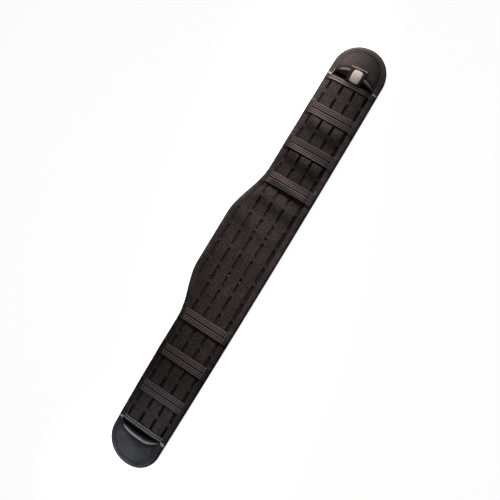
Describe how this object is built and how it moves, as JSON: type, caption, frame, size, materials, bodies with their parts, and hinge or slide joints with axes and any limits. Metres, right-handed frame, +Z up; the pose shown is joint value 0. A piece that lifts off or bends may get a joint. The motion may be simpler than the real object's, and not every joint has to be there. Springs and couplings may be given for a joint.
{
  "type": "padded belt sleeve",
  "caption": "Padded belt sleeve lying open: slotted face panel, webbing straps across it, bound edge, wide lumbar, round hooded ends with open mouths.",
  "frame": {"origin": "under the middle of the belt, on the surface that it lies on", "axes": "+X along the belt, +Y towards the side where the lumbar flares, +Z up out of the slotted face"},
  "size_m": [0.8948, 0.134, 0.0194],
  "materials": {
    "pad_cloth": "plain black nylon over foam",
    "panel_cloth": "matte laminated black nylon, fine weave",
    "binding_tape": "cross-ribbed black binding tape",
    "webbing": "black webbing with ribs along it and a centre groove",
    "end_tape": "narrow black webbing tape, folded",
    "hood_cloth": "black nylon with fine ribs along the belt, slight sheen",
    "label_cloth": "plain black woven tab"
  },
  "bodies": {
    "root": {"pad_body": "pad_cloth", "face_panel": "panel_cloth", "edge_binding": "binding_tape", "keeper_strap_1": "webbing", "keeper_strap_2": "webbing", "keeper_strap_3": "webbing", "keeper_strap_4": "webbing", "keeper_strap_5": "webbing", "keeper_strap_6": "webbing", "mouth_tape_left": "end_tape", "mouth_tape_right": "end_tape", "end_hood_left": "hood_cloth", "end_hood_right": "hood_cloth", "label_tab": "label_cloth"}
  },
  "joints": []
}
